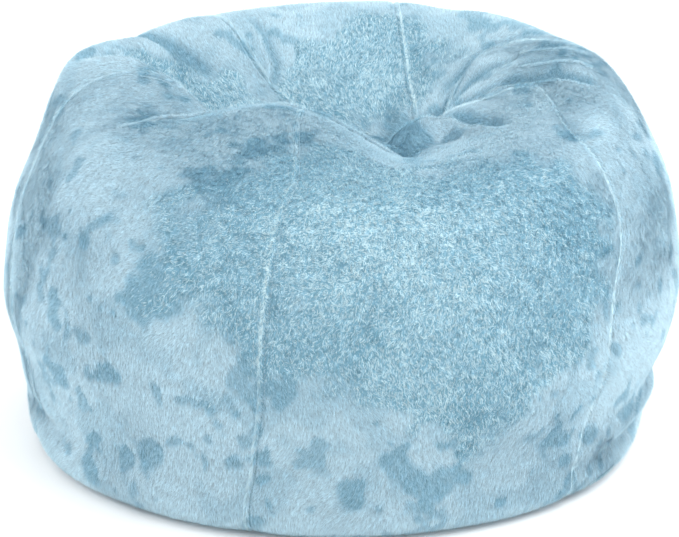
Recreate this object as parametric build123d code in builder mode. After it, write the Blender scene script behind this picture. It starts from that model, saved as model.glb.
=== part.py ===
"""Bean bag chair: a six-gore plush cover over a sewn liner full of beads, in millimetres.

+Z is up, -Y is the front and the origin is the middle of the flat underside.
Every layer follows one outline, read at an azimuth round the Z axis and set in by its own depth.
"""

from build123d import *

import os
from math import cos, degrees, radians, sin

os.makedirs("parts", exist_ok=True)

# Overall shape
belly_radius = 482.5
belly_height = 245.0
base_radius = 405.0
toe_radius = 449.0
toe_height = 82.0
shoulder_radius = 451.0
brow_radius = 378.0
crest_radius_back = 262.0
crest_radius_front = 215.0
crest_height_back = 545.0
crest_height_front = 508.0
shoulder_drop = 133.0
brow_drop = 37.0

# Seat dent in the top
seat_wall_radius = 135.0
seat_wall_drop = 55.0
seat_depth = 130.0
cap_apothem = 62.0

# Sewn cover
gore_count = 6
first_seam = -102.0
gore_crown = 7.0
cover_wall = 5.0
seam_gap = 0.5
stitch_width = 1.2
stitch_height = 1.2
stitch_start = 0.03
stitch_end = 0.93

# Care label, caught in the seam at the back
label_seam = 78.0
label_width = 40.0
label_thickness = 0.6
label_clearance = 0.2
label_start = 0.07
label_end = 0.12

# Zips: coil, tape and slider are the same size on the cover and on the liner
coil_width = 2.4
coil_height = 2.1
coil_gap = 1.2
tape_reach = 16.0
tape_thickness = 0.6
tape_overhang = 14.0
slider_length = 15.0
slider_plate = 1.0
slider_clearance = 0.25
slider_flange = 1.0
post_length = 4.0
post_width = 0.9
crown_rise = 1.2
crown_strip = 0.6
crown_length = 9.0
crown_width = 3.4
crown_foot = 1.5
stop_length = 3.0
stop_corner = 0.5
zip_slot_clearance = 3.0
cover_zip_length = 580.0
cover_zip_y = 0.0

# Liner and filling
liner_clearance = 2.65
liner_wall = 1.5
liner_cap_radius = 66.0
liner_panel_count = 3
liner_zip_length = 320.0
liner_zip_y = 110.0
fill_clearance = 1.65

# Worked out from the sizes above: the shoulder, brow and seat floor keep their drop below the back crest
shoulder_height = crest_height_back - shoulder_drop
brow_height = crest_height_back - brow_drop
seat_floor_height = crest_height_back - seat_depth
gore_angle = 360.0 / gore_count
coil_reach = coil_gap / 2 + coil_width
slot_half_width = coil_reach + slider_clearance + slider_flange + zip_slot_clearance
plate_rise = tape_thickness + slider_clearance + slider_plate
liner_depth = cover_wall + plate_rise + liner_clearance
fill_depth = liner_depth + liner_wall + plate_rise + fill_clearance
outline_steps = 12
gore_sections = 5
label_sections = 3
edge_step = 1e-6

# Between its sections a lofted gore stands past its outline, by less than the rise of one step's arc
panel_bulge = belly_radius * (1 - cos(radians(gore_angle / (gore_sections - 1) / 2)))
label_standoff = panel_bulge + label_clearance


def between(front, back, azimuth):
    """A size that runs from its front value to its back value as the azimuth goes round."""
    return front + (back - front) * (1 + sin(radians(azimuth))) / 2


def draw_in(azimuth):
    """How far the seams pull the outline in: nothing at the middle of a gore, all of it at a seam."""
    return gore_crown * (1 + cos(radians((azimuth - first_seam) * gore_count))) / 2


def meridian(azimuth):
    """The upright plane through the Z axis at an azimuth: its X runs outwards and its Y runs up."""
    a = radians(azimuth)
    return Plane(origin=(0, 0, 0), x_dir=(cos(a), sin(a), 0), z_dir=(sin(a), -cos(a), 0))


def outline(azimuth, cap_radius):
    """The cover's outer line in a meridian plane, from the base seam out, up and in to the top cap."""
    pull = draw_in(azimuth)
    crest_radius = between(crest_radius_front, crest_radius_back, azimuth)
    crest_height = between(crest_height_front, crest_height_back, azimuth)
    return Spline(
        (base_radius, 0),
        (toe_radius - pull, toe_height),
        (belly_radius - pull, belly_height),
        (shoulder_radius - pull, shoulder_height),
        (brow_radius - pull / 2, brow_height),
        (crest_radius, crest_height),
        (seat_wall_radius, crest_height - seat_wall_drop),
        (cap_radius, seat_floor_height),
        tangents=((1, 0), (-1, 0)),
    )


def set_in(line, depth, start=0.0, end=1.0):
    """Points along part of an outline, moved into the bag by a depth, or out of it if negative."""
    points = []
    for step in range(outline_steps + 1):
        share = start + (end - start) * step / outline_steps
        place, way = line.position_at(share), line.tangent_at(share)
        points.append((place.X - way.Y * depth, place.Y + way.X * depth))
    return points


def band(azimuth, cap_radius, depth, wall, start=0.0, end=1.0):
    """The face of a layer in a meridian plane: its wall's thickness, along part of the outline."""
    with BuildLine(mode=Mode.PRIVATE):
        line = outline(azimuth, cap_radius)
    with BuildSketch(meridian(azimuth), mode=Mode.PRIVATE) as face:
        with BuildLine():
            outer = Spline(*set_in(line, depth, start, end))
            inner = Spline(*set_in(line, depth + wall, start, end))
            Line(outer @ 1, inner @ 1)
            Line(inner @ 0, outer @ 0)
        make_face()
    return face.sketch


def hexagon_radius(azimuth, apothem):
    """Distance out to a straight side of the hexagon whose corners stand at the seams."""
    from_middle = (azimuth - first_seam) % gore_angle - gore_angle / 2
    return apothem / cos(radians(from_middle))


def side_of_gore(azimuth, last):
    """The hexagon's distance at a gore's edge, where both ends belong to the same straight side."""
    return hexagon_radius(azimuth - edge_step if last else azimuth, cap_apothem)


def write(piece, name):
    """Labels a finished piece and writes it as the node of that name."""
    piece.part.label = name
    export_step(piece.part, f"parts/{name}.step")


def gore(start_azimuth):
    """One cover gore, lofted through its meridian faces from seam to seam."""
    with BuildPart() as piece:
        faces = []
        for number in range(gore_sections):
            azimuth = start_azimuth + gore_angle * number / (gore_sections - 1)
            edge = side_of_gore(azimuth, number == gore_sections - 1) + seam_gap
            faces.append(band(azimuth, edge, 0, cover_wall))
        loft(sections=faces)
    return piece


def liner_panel(start_azimuth):
    """One liner panel, lofted the same way over its wider angle."""
    span = 360.0 / liner_panel_count
    sections = 2 * gore_sections - 1
    with BuildPart() as piece:
        faces = []
        for number in range(sections):
            azimuth = start_azimuth + span * number / (sections - 1)
            faces.append(band(azimuth, liner_cap_radius + seam_gap, liner_depth, liner_wall))
        loft(sections=faces)
    return piece


def fill_sector(start_azimuth):
    """A sixth of the filling, whose inner side is flat so that it meets the hexagonal core."""
    faces = []
    for number in range(gore_sections):
        azimuth = start_azimuth + gore_angle * number / (gore_sections - 1)
        core = side_of_gore(azimuth, number == gore_sections - 1)
        with BuildLine(mode=Mode.PRIVATE):
            line = outline(azimuth, core)
        with BuildSketch(meridian(azimuth), mode=Mode.PRIVATE) as face:
            with BuildLine():
                skin = Spline(*set_in(line, fill_depth))
                Polyline(skin @ 1, (core, fill_depth), skin @ 0)
            make_face()
        faces.append(face.sketch)
    loft(sections=faces)


def base_half(radius, floor, wall, zip_y, zip_length, side):
    """Half of a flat round base, cut back beside the zip. side is -1 in front of the zip, 1 behind it."""
    slot_length = zip_length + 2 * (stop_length + zip_slot_clearance)
    with BuildPart() as piece:
        with BuildSketch(Plane.XY.offset(floor)):
            Circle(radius)
            with Locations((0, zip_y + side * radius)):
                Rectangle(2 * radius, 2 * radius, mode=Mode.INTERSECT)
            with Locations((0, zip_y)):
                Rectangle(slot_length, 2 * slot_half_width, mode=Mode.SUBTRACT)
        extrude(amount=wall)
    return piece


def zip_tape(top_of_panel, zip_y, zip_length, side):
    """One woven tape, lying on the inner face of its panel with its edge above the coil."""
    inner_edge = coil_gap / 2
    with BuildPart() as piece:
        with BuildSketch(Plane.XY.offset(top_of_panel)):
            with Locations((0, zip_y + side * (inner_edge + tape_reach) / 2)):
                Rectangle(zip_length + 2 * tape_overhang, tape_reach - inner_edge)
        extrude(amount=tape_thickness)
    return piece


def zip_coil(top_of_panel, zip_y, zip_length, side):
    """One coil row, sewn under its tape's inner edge."""
    with BuildPart() as piece:
        with BuildSketch(Plane.XY.offset(top_of_panel - coil_height)):
            with Locations((0, zip_y + side * (coil_gap + coil_width) / 2)):
                Rectangle(zip_length, coil_width)
        extrude(amount=coil_height)
    return piece


def zip_bottom_stop(top_of_panel, zip_y, zip_length):
    """The box clip across both coils at the end that stays joined."""
    with BuildPart() as piece:
        with BuildSketch(Plane.XY.offset(top_of_panel - coil_height)):
            with Locations((zip_length / 2 + stop_length / 2, zip_y)):
                Rectangle(stop_length, 2 * coil_reach)
        extrude(amount=coil_height)
        fillet(piece.edges().filter_by(Axis.Z).group_by(Axis.X)[-1], stop_corner)
    return piece


def zip_top_stops(top_of_panel, zip_y, zip_length):
    """The two clips at the end that opens, one on each tape."""
    with BuildPart() as piece:
        with BuildSketch(Plane.XY.offset(top_of_panel - coil_height)):
            with Locations((-zip_length / 2 - stop_length / 2, zip_y)):
                with GridLocations(stop_length, coil_gap + coil_width, 1, 2):
                    Rectangle(stop_length, coil_width)
        extrude(amount=coil_height)
        fillet(piece.edges().filter_by(Axis.Z).group_by(Axis.X)[0], stop_corner)
    return piece


def zip_slider(top_of_panel, zip_y, zip_length):
    """The slider: plates above and below the coils, side flanges and the post between the rows."""
    half_width = coil_reach + slider_clearance + slider_flange
    low = top_of_panel - coil_height - slider_clearance
    high = top_of_panel + tape_thickness + slider_clearance
    left = -zip_length / 2
    middle = left + slider_length / 2
    with BuildPart() as piece:
        with BuildSketch(Plane.XY.offset(low)):
            with Locations((middle, zip_y)):
                RectangleRounded(slider_length, 2 * half_width, half_width / 2)
        extrude(amount=-slider_plate)
        with BuildSketch(Plane.XY.offset(high)):
            with Locations((middle, zip_y)):
                RectangleRounded(slider_length, 2 * half_width, half_width / 2)
        extrude(amount=slider_plate)
        with BuildSketch(Plane.XY.offset(low)):
            with Locations((middle, zip_y)):
                with GridLocations(slider_length, 2 * half_width - slider_flange, 1, 2):
                    Rectangle(slider_length - half_width, slider_flange)
        extrude(amount=coil_height)
        with BuildSketch(Plane.XY.offset(low)):
            with Locations((left + post_length / 2, zip_y)):
                Rectangle(post_length, post_width)
        extrude(amount=high - low)
    return piece


def slider_crown(top_of_panel, zip_y, zip_length):
    """The low bridge on the slider's outer face: a child-safe zip has no pull, and a clip hooks in here."""
    plate_face = top_of_panel - coil_height - slider_clearance - slider_plate
    middle = -zip_length / 2 + slider_length / 2
    with BuildPart() as piece:
        with BuildSketch(Plane.XY.offset(plate_face)):
            with Locations((middle, zip_y)):
                Rectangle(crown_length, crown_width)
        extrude(amount=-crown_rise)
        with BuildSketch(Plane.XY.offset(plate_face)):
            with Locations((middle, zip_y)):
                Rectangle(crown_length - 2 * crown_foot, crown_width)
        extrude(amount=-(crown_rise - crown_strip), mode=Mode.SUBTRACT)
    return piece


def write_zip(layer, top_of_panel, zip_y, zip_length):
    """Every piece of one zip, with the layer's name before each."""
    for place, side in (("front", -1), ("rear", 1)):
        write(zip_tape(top_of_panel, zip_y, zip_length, side), f"{layer}_zip_tape_{place}")
        write(zip_coil(top_of_panel, zip_y, zip_length, side), f"{layer}_zip_coil_{place}")
    write(zip_bottom_stop(top_of_panel, zip_y, zip_length), f"{layer}_zip_bottom_stop")
    write(zip_top_stops(top_of_panel, zip_y, zip_length), f"{layer}_zip_top_stops")
    write(zip_slider(top_of_panel, zip_y, zip_length), f"{layer}_zip_slider")
    write(slider_crown(top_of_panel, zip_y, zip_length), f"{layer}_zip_slider_crown")


# Cover: six gores, counter-clockwise from the seam at the front
gore_names = ["front", "right", "back_right", "back_left", "left", "front_left"]
for number, place in enumerate(gore_names):
    write(gore(first_seam + number * gore_angle), f"cover_panel_{place}")

# Cover: the topstitching that stands on each seam
for number in range(gore_count):
    seam = first_seam + number * gore_angle
    seam_cap_radius = hexagon_radius(seam, cap_apothem) + seam_gap
    ridge = band(seam, seam_cap_radius, -stitch_height, stitch_height, stitch_start, stitch_end)
    with BuildPart() as stitch:
        extrude(ridge, amount=stitch_width / 2, both=True)
    write(stitch, f"cover_topstitch_{number + 1}")

# Cover: the hexagonal cap at the bottom of the seat dent
with BuildPart() as cover_cap:
    with BuildSketch(Plane.XY.offset(seat_floor_height - cover_wall)):
        RegularPolygon(cap_apothem, gore_count, major_radius=False, rotation=first_seam)
    extrude(amount=cover_wall)
write(cover_cap, "cover_top_cap")

# Cover: the two halves of the base and the zip between them
cover_base_radius = base_radius - seam_gap
for place, side in (("front", -1), ("rear", 1)):
    half = base_half(cover_base_radius, 0, cover_wall, cover_zip_y, cover_zip_length, side)
    write(half, f"cover_base_{place}")
write_zip("cover", cover_wall, cover_zip_y, cover_zip_length)

# Cover: the blank care label, lying on the panel beside its seam
with BuildPart() as care_label:
    faces = []
    label_depth = -label_standoff - label_thickness
    for number in range(label_sections):
        along = stitch_width + label_width * number / (label_sections - 1)
        azimuth = label_seam + degrees(along / toe_radius)
        edge = side_of_gore(azimuth, False) + seam_gap
        faces.append(band(azimuth, edge, label_depth, label_thickness, label_start, label_end))
    loft(sections=faces)
write(care_label, "care_label")

# Liner: three panels, a round cap and a base with its own zip
for number in range(liner_panel_count):
    azimuth = first_seam + number * 360.0 / liner_panel_count
    write(liner_panel(azimuth), f"liner_panel_{number + 1}")
with BuildPart() as liner_cap:
    with BuildSketch(Plane.XY.offset(seat_floor_height - liner_depth - liner_wall)):
        Circle(liner_cap_radius)
    extrude(amount=liner_wall)
write(liner_cap, "liner_top_cap")
for place, side in (("front", -1), ("rear", 1)):
    half = base_half(
        base_radius - seam_gap, liner_depth, liner_wall, liner_zip_y, liner_zip_length, side
    )
    write(half, f"liner_base_{place}")
write_zip("liner", liner_depth + liner_wall, liner_zip_y, liner_zip_length)

# Filling: one body of beads in the liner's shape
with BuildPart() as bead_fill:
    for number in range(gore_count):
        fill_sector(first_seam + number * gore_angle)
    with BuildSketch(Plane.XY.offset(fill_depth)):
        RegularPolygon(cap_apothem, gore_count, major_radius=False, rotation=first_seam)
    extrude(amount=seat_floor_height - 2 * fill_depth)
write(bead_fill, "bead_fill")
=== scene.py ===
import math
import bmesh
import bpy
import numpy as np
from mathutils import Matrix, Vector


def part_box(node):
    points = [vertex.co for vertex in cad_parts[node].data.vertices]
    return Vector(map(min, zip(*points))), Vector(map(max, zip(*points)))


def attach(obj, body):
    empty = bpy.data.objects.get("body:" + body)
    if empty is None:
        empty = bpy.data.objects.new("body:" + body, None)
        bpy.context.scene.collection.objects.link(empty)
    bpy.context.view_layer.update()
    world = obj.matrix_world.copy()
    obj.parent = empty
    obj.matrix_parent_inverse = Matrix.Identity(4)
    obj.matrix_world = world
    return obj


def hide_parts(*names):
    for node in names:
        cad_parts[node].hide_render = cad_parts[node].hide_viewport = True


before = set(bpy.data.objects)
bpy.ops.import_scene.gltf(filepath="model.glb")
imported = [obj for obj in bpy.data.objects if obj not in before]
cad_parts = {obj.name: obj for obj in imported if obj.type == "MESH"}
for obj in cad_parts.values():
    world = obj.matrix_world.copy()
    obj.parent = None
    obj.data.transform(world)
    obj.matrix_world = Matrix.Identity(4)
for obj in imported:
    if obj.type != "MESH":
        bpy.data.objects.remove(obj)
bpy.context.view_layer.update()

# Bean bag chair: a plush cover of six gores over a liner full of beads. Metres, +Z up, -Y the front.
print("frame loaded:", len(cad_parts), "nodes")

cover = dict(
    seams=6, firstSeam=-102.0,
    baseRadius=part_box("cover_base_front")[1].x,
    pole=(0.105, -0.008), capRadius=0.046,
    browRadius=0.385, browHeight=0.515, bellyHeight=0.245,
    sideRows=104, topRows=96, middleColumns=46, browPasses=60, browRows=13,
    # share of the side's spline that ends at the brow, and how far over the top its last knot lies
    browShare=0.88, knotShare=0.16,
    # radius that turns an angle into metres round the bag, how much the top's plate may give at its places,
    # and width of a fold's ridge as a share of its hollow's
    girth=0.46, plateEase=2e-5, ridgeShare=0.6,
    # outer side, from the base seam up: share of the side, radius, height
    side=[(0.0, 0.405, 0.0), (0.05, 0.432, 0.011), (0.12, 0.450, 0.047), (0.21, 0.4535, 0.105),
          (0.34, 0.474, 0.178), (0.45, 0.4825, 0.245), (0.58, 0.475, 0.330), (0.72, 0.453, 0.412)],
    # sideways bow of each seam where it runs over the top, in the order of the seams
    bows=[-0.09, 0.095, 0.066, 0.005, 0.055, 0.03],
    # degrees that each seam leans round the bag, at the brow and at the base
    upperLeans=[1.0, 11.5, -1.5, 0.0, -10.0, -12.0],
    lowerLeans=[-4.0, -3.0, 0.0, 0.0, 0.0, 0.0],
    # columns beside a seam, in metres from it at the belly: after the seam, then before the next one
    after=[0, 0.0009, 0.0018, 0.0028, 0.004, 0.0052, 0.0062, 0.0074, 0.0095, 0.013, 0.019, 0.027],
    before=[0.028, 0.020, 0.013, 0.008, 0.005, 0.0032, 0.002, 0.001],
)

# a seam: the cloth drawn in beside it, a ridge on it and a flat sewn band on one side, ending in a groove
seam = dict(pull=0.0034, reach=0.018, pullPower=1.3, ridge=0.0022, ridgeWidth=0.0016, band=0.0064,
            bandDepth=0.0010, bandEase=0.001, groove=0.0012, grooveWidth=0.0009)

# places on the top that the cloth passes through: x, y, height
topPlaces = [
    # round the brow
    (0.385, 0.0, 0.517), (0.34, 0.18, 0.515), (0.195, 0.335, 0.515), (0.0, 0.388, 0.512),
    (-0.19, 0.335, 0.512), (-0.33, 0.19, 0.512), (-0.382, 0.0, 0.513), (-0.35, -0.16, 0.482),
    (-0.22, -0.315, 0.462), (-0.1, -0.37, 0.452), (0.0, -0.385, 0.447), (0.13, -0.362, 0.45),
    (0.29, -0.252, 0.462), (0.362, -0.13, 0.49),
    # crest of the back and right lobes
    (0.09, 0.285, 0.557), (0.0, 0.27, 0.556), (-0.06, 0.255, 0.555), (-0.145, 0.235, 0.552),
    (-0.205, 0.196, 0.55), (-0.26, 0.147, 0.543), (0.21, 0.235, 0.552), (0.264, 0.152, 0.55),
    (0.318, 0.098, 0.545), (0.334, 0.0, 0.535),
    # left lobe and the valley behind it
    (-0.35, 0.02, 0.541), (-0.33, 0.06, 0.546), (-0.3, 0.0, 0.542), (-0.264, -0.02, 0.535),
    (-0.228, -0.045, 0.517), (-0.188, -0.075, 0.489), (-0.3, -0.07, 0.518), (-0.26, -0.085, 0.505),
    (-0.305, 0.08, 0.537), (-0.279, 0.1, 0.532), (-0.295, 0.035, 0.516), (-0.255, 0.05, 0.5),
    (-0.228, 0.09, 0.492), (-0.205, 0.02, 0.463), (-0.1625, 0.06, 0.458), (-0.14, -0.01, 0.436),
    # front lip and the drop behind it
    (-0.274, -0.204, 0.497), (-0.227, -0.17, 0.5), (-0.18, -0.142, 0.501), (-0.128, -0.116, 0.501),
    (-0.065, -0.114, 0.495), (-0.03, -0.117, 0.484), (0.005, -0.126, 0.471), (0.045, -0.137, 0.456),
    (0.09, -0.155, 0.442), (-0.235, -0.128, 0.486), (-0.205, -0.112, 0.477), (-0.18, -0.103, 0.476),
    (-0.128, -0.072, 0.452), (-0.065, -0.068, 0.432), (0.0, -0.07, 0.418), (0.05, -0.085, 0.415),
    (-0.2, -0.21, 0.494), (-0.1, -0.19, 0.499), (0.0, -0.2, 0.484), (0.09, -0.24, 0.456),
    (0.0, -0.3, 0.466), (-0.1, -0.3, 0.47),
    # right front lobe
    (0.138, -0.03, 0.462), (0.136, -0.058, 0.468), (0.156, -0.075, 0.473), (0.193, -0.11, 0.475),
    (0.218, -0.152, 0.483), (0.098, -0.08, 0.464), (0.075, -0.09, 0.452), (0.12, -0.072, 0.471),
    (0.139, -0.1, 0.45), (0.12, -0.15, 0.449), (0.2, -0.25, 0.47), (0.28, -0.2, 0.475),
    (0.198, -0.0145, 0.487), (0.252, -0.024, 0.503), (0.284, -0.069, 0.5), (0.3134, -0.137, 0.488),
    # right and back inner faces
    (0.19, 0.08, 0.512), (0.166, 0.0626, 0.48), (0.143, 0.026, 0.452), (0.2314, 0.0986, 0.53),
    (0.3, 0.04, 0.536), (0.07, 0.0, 0.408), (0.08, 0.06, 0.448), (0.085, 0.14, 0.49), (0.0, 0.14, 0.492),
    (0.0, 0.05, 0.438), (-0.1, 0.13, 0.5), (-0.1, 0.07, 0.462), (0.15, 0.14, 0.503),
    (0.105, -0.008, 0.385),
]

# creases pressed into the top: from x, y to x, y, depth at each end, half width
topCreases = [
    (0.082, -0.11, 0.1, -0.185, 0.01, 0.0, 0.012), (-0.03, -0.07, -0.29, -0.215, 0.012, 0.0, 0.02),
    (-0.05, 0.0, -0.33, 0.085, 0.005, 0.003, 0.02), (-0.139, 0.22, -0.1, 0.1, 0.003, 0.004, 0.03),
    (0.086, 0.26, 0.072, 0.01, 0.0, 0.003, 0.008), (0.078, 0.06, 0.13, 0.175, 0.016, 0.0, 0.01),
    (0.14, 0.03, 0.215, 0.125, 0.016, 0.003, 0.009), (0.15, 0.02, 0.222, 0.06, 0.015, 0.003, 0.008),
    (0.15, 0.045, 0.23, 0.09, -0.006, -0.003, 0.008), (0.14, 0.0, 0.22, -0.002, 0.009, 0.002, 0.009),
    (0.15, 0.016, 0.235, 0.025, -0.006, -0.003, 0.008), (0.24, 0.014, 0.345, -0.033, 0.024, 0.012, 0.009),
    (0.25, 0.022, 0.36, -0.018, -0.004, -0.003, 0.008), (0.262, 0.04, 0.354, 0.008, 0.006, 0.004, 0.006),
    (0.25, 0.06, 0.34, 0.04, -0.004, -0.003, 0.009),
]

# folds: the line in plan with the far side on its left, height of the ridge on the line, depth of the hollow
# behind it, how far behind, half width of the hollow, and the shares of the line where it fades in and out
topFolds = [
    ([(-0.358, 0.024), (-0.3205, -0.003), (-0.2625, -0.034), (-0.2206, -0.047), (-0.185, -0.076),
      (-0.16, -0.09)], 0.008, 0.026, 0.028, 0.016, 0.08, 0.25),
    ([(-0.325, 0.18), (-0.262, 0.135), (-0.21, 0.118), (-0.16, 0.1)],
     0.0, 0.015, 0.002, 0.012, 0.25, 0.3),
    ([(-0.275, -0.19), (-0.2176, -0.15), (-0.16, -0.127), (-0.093, -0.124), (-0.045, -0.128),
      (0.0, -0.138), (0.045, -0.148), (0.1, -0.165)], 0.007, 0.015, 0.018, 0.011, 0.12, 0.2),
    ([(0.058, -0.092), (0.098, -0.078), (0.126, -0.07), (0.1533, -0.0752), (0.1924, -0.1205),
      (0.2166, -0.1687)], 0.007, 0.018, 0.018, 0.012, 0.2, 0.3),
    ([(0.144, 0.046), (0.1665, 0.0717), (0.194, 0.09), (0.2313, 0.1), (0.2609, 0.1097), (0.3, 0.1)],
     0.005, 0.01, 0.013, 0.008, 0.3, 0.3),
    ([(0.15, 0.02), (0.19, 0.045), (0.2284, 0.043), (0.27, 0.055)], 0.004, 0.011, 0.011, 0.007, 0.3, 0.3),
    ([(0.145, -0.01), (0.19, 0.0), (0.227, 0.006), (0.26, -0.012)], 0.004, 0.011, 0.01, 0.007, 0.3, 0.3),
    ([(-0.145, 0.225), (-0.119, 0.177), (-0.1, 0.134), (-0.105, 0.085)],
     0.003, 0.006, 0.01, 0.008, 0.3, 0.3),
]

# hollows and swells on the sides: azimuth, height, half width round the bag, half height, how far in
sideDents = [
    (186, 0.43, 0.22, 0.1, 0.026), (184, 0.27, 0.18, 0.07, 0.008), (-14, 0.045, 0.12, 0.028, 0.016),
    (-2, 0.42, 0.2, 0.07, 0.005), (208, 0.072, 0.16, 0.02, 0.012), (200, 0.165, 0.12, 0.035, 0.007),
    (215, 0.018, 0.14, 0.016, -0.004), (-6, 0.118, 0.12, 0.022, 0.012), (-12, 0.085, 0.1, 0.014, -0.004),
    (-28, 0.052, 0.12, 0.016, 0.012), (-45, 0.02, 0.16, 0.014, -0.004), (232, 0.09, 0.03, 0.03, 0.005),
    (226, 0.1, 0.02, 0.035, 0.006), (-48, 0.2, 0.05, 0.03, 0.004), (-100, 0.1, 0.1, 0.03, 0.004),
    (-72, 0.12, 0.08, 0.03, 0.003), (60, 0.1, 0.16, 0.022, 0.011), (96, 0.075, 0.14, 0.018, 0.01),
    (132, 0.115, 0.16, 0.022, 0.01), (165, 0.085, 0.12, 0.016, 0.009), (30, 0.16, 0.12, 0.03, 0.006),
    (150, 0.2, 0.1, 0.03, 0.005),
]


def softStep(value):
    value = np.clip(value, 0, 1)
    return value * value * (3 - 2 * value)


def unit(vectors):
    return vectors / np.maximum(np.linalg.norm(vectors, axis=-1, keepdims=True), 1e-12)


def curveThrough(knots, values, where):
    # natural cubic spline along the knots, solved for every column of values at once
    knots, values = np.asarray(knots, float), np.asarray(values, float)
    gaps = np.diff(knots)
    slopes = np.diff(values, axis=0) / gaps.reshape(-1, *[1] * (values.ndim - 1))
    system = np.eye(len(knots))
    inner = np.arange(1, len(knots) - 1)
    system[inner, inner - 1] = gaps[:-1] / 6
    system[inner, inner] = (gaps[:-1] + gaps[1:]) / 3
    system[inner, inner + 1] = gaps[1:] / 6
    right = np.zeros_like(values)
    right[1:-1] = np.diff(slopes, axis=0)
    bend = np.linalg.solve(system, right.reshape(len(knots), -1)).reshape(values.shape)
    cell = np.clip(np.searchsorted(knots, where, side="right") - 1, 0, len(knots) - 2)
    shape = (-1, *[1] * (values.ndim - 1))
    gap = gaps[cell].reshape(shape)
    before = ((where - knots[cell]).reshape(shape)) / gap
    after = 1 - before
    return (after * values[cell] + before * values[cell + 1]
            + ((after**3 - after) * bend[cell] + (before**3 - before) * bend[cell + 1]) * gap**2 / 6)


def roundValues(perSeam, azimuth):
    # values given at the seams, carried smoothly round the bag
    gap = 360 / cover["seams"]
    at = cover["firstSeam"] + gap * np.arange(-2, cover["seams"] + 3)
    wrapped = np.take(perSeam, np.arange(-2, cover["seams"] + 3), mode="wrap")
    return curveThrough(at, wrapped, np.asarray(azimuth, float))


def plateThrough(places):
    # thin plate spline: heights over the plan as a plane plus a sum of distance squared times its logarithm
    places = np.asarray(places, float)

    def kernel(a, b):
        square = ((a[:, None] - b[None]) ** 2).sum(-1)
        return square * np.log(square + 1e-12)

    plan, count = places[:, :2], len(places)
    system = np.zeros((count + 3, count + 3))
    system[:count, :count] = kernel(plan, plan) + cover["plateEase"] * np.eye(count)
    system[:count, count:] = np.c_[np.ones(count), plan]
    system[count:, :count] = system[:count, count:].T
    weights = np.linalg.solve(system, np.r_[places[:, 2], np.zeros(3)])
    return lambda x, y: (kernel(np.c_[x.ravel(), y.ravel()], plan) @ weights[:count]
                         + np.c_[np.ones(x.size), x.ravel(), y.ravel()] @ weights[count:]).reshape(x.shape)


def creaseDepth(x, y, creases):
    # each crease is a bell across its line, fading past its ends
    depth = np.zeros_like(x)
    for x0, y0, x1, y1, start, end, width in creases:
        along = np.array([x1 - x0, y1 - y0])
        length = np.hypot(*along)
        share = ((x - x0) * along[0] + (y - y0) * along[1]) / length**2
        across = ((x - x0) * along[1] - (y - y0) * along[0]) / length
        past = np.maximum(np.maximum(-share, share - 1), 0) * length
        size = start + (end - start) * np.clip(share, 0, 1)
        depth += size * np.exp(-(across / width) ** 2 - (past / width) ** 2)
    return depth


def foldDepth(x, y, folds):
    # across each fold a narrow ridge, then a wider hollow behind it; both fade out at its two ends
    depth = np.zeros_like(x)
    for line, ridge, hollow, behind, width, fadeIn, fadeOut in folds:
        line = np.array(line)
        lengths = np.hypot(*np.diff(line, axis=0).T)
        away, signed, share = np.full(x.shape, 9.0), np.zeros_like(x), np.zeros_like(x)
        for start, end, before, length in zip(line[:-1], line[1:], np.r_[0, np.cumsum(lengths)], lengths):
            along = (end - start) / length
            run = np.clip((x - start[0]) * along[0] + (y - start[1]) * along[1], 0, length)
            offX, offY = x - start[0] - run * along[0], y - start[1] - run * along[1]
            nearer = np.hypot(offX, offY) < away
            away = np.where(nearer, np.hypot(offX, offY), away)
            signed = np.where(nearer, np.copysign(away, along[0] * offY - along[1] * offX), signed)
            share = np.where(nearer, (before + run) / lengths.sum(), share)
        fade = softStep(share / fadeIn) * softStep((1 - share) / fadeOut)
        sunk = hollow * np.exp(-((signed - behind) / width) ** 2)
        raised = ridge * np.exp(-(signed / (cover["ridgeShare"] * width)) ** 2)
        depth += fade * (sunk - raised)
    return depth


def pressedDepth(x, y):
    # everything pressed into the top or raised on it
    return creaseDepth(x, y, topCreases) + foldDepth(x, y, topFolds)


def dentDepth(azimuth, height):
    # each dent is a bell in the distance round the bag and in height
    depth = np.zeros_like(height)
    for centre, level, wide, high, size in sideDents:
        around = np.radians((azimuth - centre + 180) % 360 - 180) * cover["girth"]
        depth += size * np.exp(-(around / wide) ** 2 - ((height - level) / high) ** 2)
    return depth


topHeight = plateThrough(topPlaces)


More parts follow.
